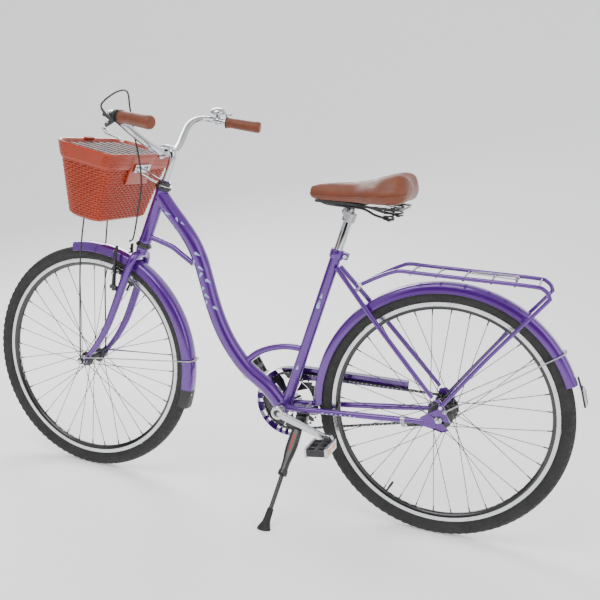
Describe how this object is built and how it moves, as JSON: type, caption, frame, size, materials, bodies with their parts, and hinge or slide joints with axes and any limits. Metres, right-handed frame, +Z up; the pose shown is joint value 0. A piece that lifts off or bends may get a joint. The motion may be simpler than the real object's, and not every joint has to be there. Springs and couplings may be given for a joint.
{
  "type": "bicycle on stand",
  "caption": "Step-through city bicycle leaning on its side kickstand, with fenders, rear rack, sprung saddle, swept-back handlebar, bell and a lidded front basket.",
  "frame": {"origin": "centre of the bounding box in X and Y, at the ground in Z", "axes": "+X forward, +Y to the rider's left, +Z up; the bicycle leans 5 degrees to its left onto the kickstand and the front wheel is turned 3.8 degrees to the right"},
  "size_m": [1.8524, 0.7198, 1.1701],
  "materials": {
    "purple_paint": "gloss",
    "black_paint": "semi-gloss",
    "tyre_rubber": "matte",
    "chrome": "polished",
    "rim_alloy": "satin",
    "steel": "satin",
    "brown_leather": "grained",
    "woven_plastic": "woven texture",
    "dark_slats": "satin",
    "black_plastic": "matte",
    "clear_plastic": "clear, faceted"
  },
  "bodies": {
    "frame": {"head_tube": "purple_paint", "down_tube": "purple_paint", "head_strut": "purple_paint", "arch_strut": "purple_paint", "seat_tube": "purple_paint", "bb_shell": "purple_paint", "chainstays": "purple_paint", "seatstays": "purple_paint", "headset_lower": "black_paint", "headset_upper": "black_paint", "rear_axle": "steel", "rear_fender": "purple_paint", "rear_fender_stay": "steel", "rear_reflector": "clear_plastic", "rear_rack": "purple_paint", "chain": "black_paint", "chain_case": "purple_paint", "coaster_arm": "black_paint", "kickstand_bracket": "black_paint", "seat_clamp": "purple_paint"},
    "steering": {"fork": "purple_paint", "front_axle": "steel", "stem": "chrome", "handlebar": "chrome", "grip_left": "brown_leather", "grip_right": "brown_leather", "lever_bracket": "black_plastic", "brake_cable": "black_plastic", "bell_base": "chrome", "bell_dome": "chrome", "basket_body": "woven_plastic", "basket_bracket": "chrome", "basket_stays": "black_paint", "front_fender": "purple_paint", "front_fender_stay": "steel", "mud_flap": "black_plastic"},
    "front_wheel": {"front_tyre": "tyre_rubber", "front_rim": "rim_alloy", "front_hub": "steel"},
    "rear_wheel": {"rear_tyre": "tyre_rubber", "rear_rim": "rim_alloy", "rear_hub": "steel"},
    "cranks": {"crank_spindle": "steel", "crank_left": "rim_alloy", "crank_right_ring": "rim_alloy"},
    "sprocket": {"rear_sprocket": "black_paint"},
    "left_pedal": {"pedal_left": "black_plastic"},
    "right_pedal": {"pedal_right": "black_plastic"},
    "front_brake_lever": {"brake_lever": "chrome"},
    "left_brake_arm": {"brake_arm_left": "black_paint"},
    "right_brake_arm": {"brake_arm_right": "black_paint"},
    "bell_thumb": {"bell_lever": "chrome"},
    "basket_cover": {"basket_lid": "dark_slats"},
    "luggage_clip": {"rack_clip": "steel"},
    "stand_leg": {"kickstand_leg": "black_paint"},
    "stand_foot": {"kickstand_foot": "black_plastic"},
    "post": {"seat_post": "chrome", "saddle_clamp": "steel"},
    "saddle": {"saddle_frame": "black_paint", "saddle_cover": "brown_leather"}
  },
  "joints": [
    {"name": "steering_turn", "type": "hinge", "parent": "frame", "child": "steering", "pos_m": [0.38684, -0.06615, 0.74054], "axis": [-0.3338, 0.0822, 0.9391], "range_deg": [-50, 57]},
    {"name": "front_wheel_spin", "type": "hinge", "parent": "steering", "child": "front_wheel", "pos_m": [0.57188, -0.10294, 0.35425], "axis": [0.0625, 0.9959, -0.0649], "continuous": true},
    {"name": "rear_wheel_spin", "type": "hinge", "parent": "frame", "child": "rear_wheel", "pos_m": [-0.55003, -0.09997, 0.35402], "axis": [0, 0.9962, -0.0872], "continuous": true},
    {"name": "crank_spin", "type": "hinge", "parent": "frame", "child": "cranks", "pos_m": [-0.09003, -0.10468, 0.30023], "axis": [0, 0.9962, -0.0872], "range_deg": [-9, 280]},
    {"name": "rear_sprocket_spin", "type": "hinge", "parent": "frame", "child": "sprocket", "pos_m": [-0.55003, -0.09997, 0.35402], "axis": [0, 0.9962, -0.0872], "range_deg": [-22, 684.5]},
    {"name": "left_pedal_spin", "type": "hinge", "parent": "cranks", "child": "left_pedal", "pos_m": [-0.24641, -0.02807, 0.24069], "axis": [0, 0.9962, -0.0872], "continuous": true},
    {"name": "right_pedal_spin", "type": "hinge", "parent": "cranks", "child": "right_pedal", "pos_m": [0.06635, -0.18128, 0.35976], "axis": [0, 0.9962, -0.0872], "continuous": true},
    {"name": "brake_lever_pull", "type": "hinge", "parent": "steering", "child": "front_brake_lever", "pos_m": [0.32254, 0.27447, 1.06147], "axis": [-0.1936, -0.6547, -0.7306], "range_deg": [0, 18], "stiffness_Nm_per_rad": 0.6, "springref_deg": -17.19},
    {"name": "left_brake_arm_close", "type": "hinge", "parent": "steering", "child": "left_brake_arm", "pos_m": [0.46554, -0.03281, 0.59612], "axis": [0.9406, -0.037, 0.3376], "range_deg": [0, 2.7]},
    {"name": "right_brake_arm_close", "type": "hinge", "parent": "steering", "child": "right_brake_arm", "pos_m": [0.4596, -0.12743, 0.60229], "axis": [-0.9406, 0.037, -0.3376], "range_deg": [0, 2.7]},
    {"name": "bell_lever_flick", "type": "hinge", "parent": "steering", "child": "bell_thumb", "pos_m": [0.26515, -0.33337, 1.14814], "axis": [-0.0007, 0.0651, 0.9979], "range_deg": [-25, 0], "stiffness_Nm_per_rad": 0.03, "springref_deg": 17.19},
    {"name": "basket_lid_open", "type": "hinge", "parent": "steering", "child": "basket_cover", "pos_m": [0.58422, -0.05991, 1.0262], "axis": [0.0625, 0.9959, -0.0649], "range_deg": [0, 100]},
    {"name": "rack_clip_lift", "type": "hinge", "parent": "frame", "child": "luggage_clip", "pos_m": [-0.71303, -0.06502, 0.75349], "axis": [0, -0.9962, 0.0872], "range_deg": [0, 75], "stiffness_Nm_per_rad": 0.5, "springref_deg": -20.05},
    {"name": "kickstand_fold", "type": "hinge", "parent": "frame", "child": "stand_leg", "pos_m": [-0.14803, -0.06026, 0.25719], "axis": [-0.3009, 0.9206, 0.249], "range_deg": [0, 89.9]},
    {"name": "kickstand_length", "type": "slide", "parent": "stand_leg", "child": "stand_foot", "axis": [0.0792, 0.5344, -0.8415], "range_m": [-0.03, 0.02]},
    {"name": "saddle_height", "type": "slide", "parent": "frame", "child": "post", "axis": [-0.2656, 0.084, 0.9604], "range_m": [-0.05, 0.08]},
    {"name": "saddle_angle", "type": "hinge", "parent": "post", "child": "saddle", "pos_m": [-0.2443, -0.05325, 0.88808], "axis": [0, 0.9962, -0.0872], "range_deg": [-8, 8]}
  ],
  "couplings": [
    {"joint": "rear_sprocket_spin", "follows": "crank_spin", "ratio": 2.4444},
    {"joint": "left_brake_arm_close", "follows": "brake_lever_pull", "ratio": 0.15},
    {"joint": "right_brake_arm_close", "follows": "brake_lever_pull", "ratio": 0.15}
  ]
}
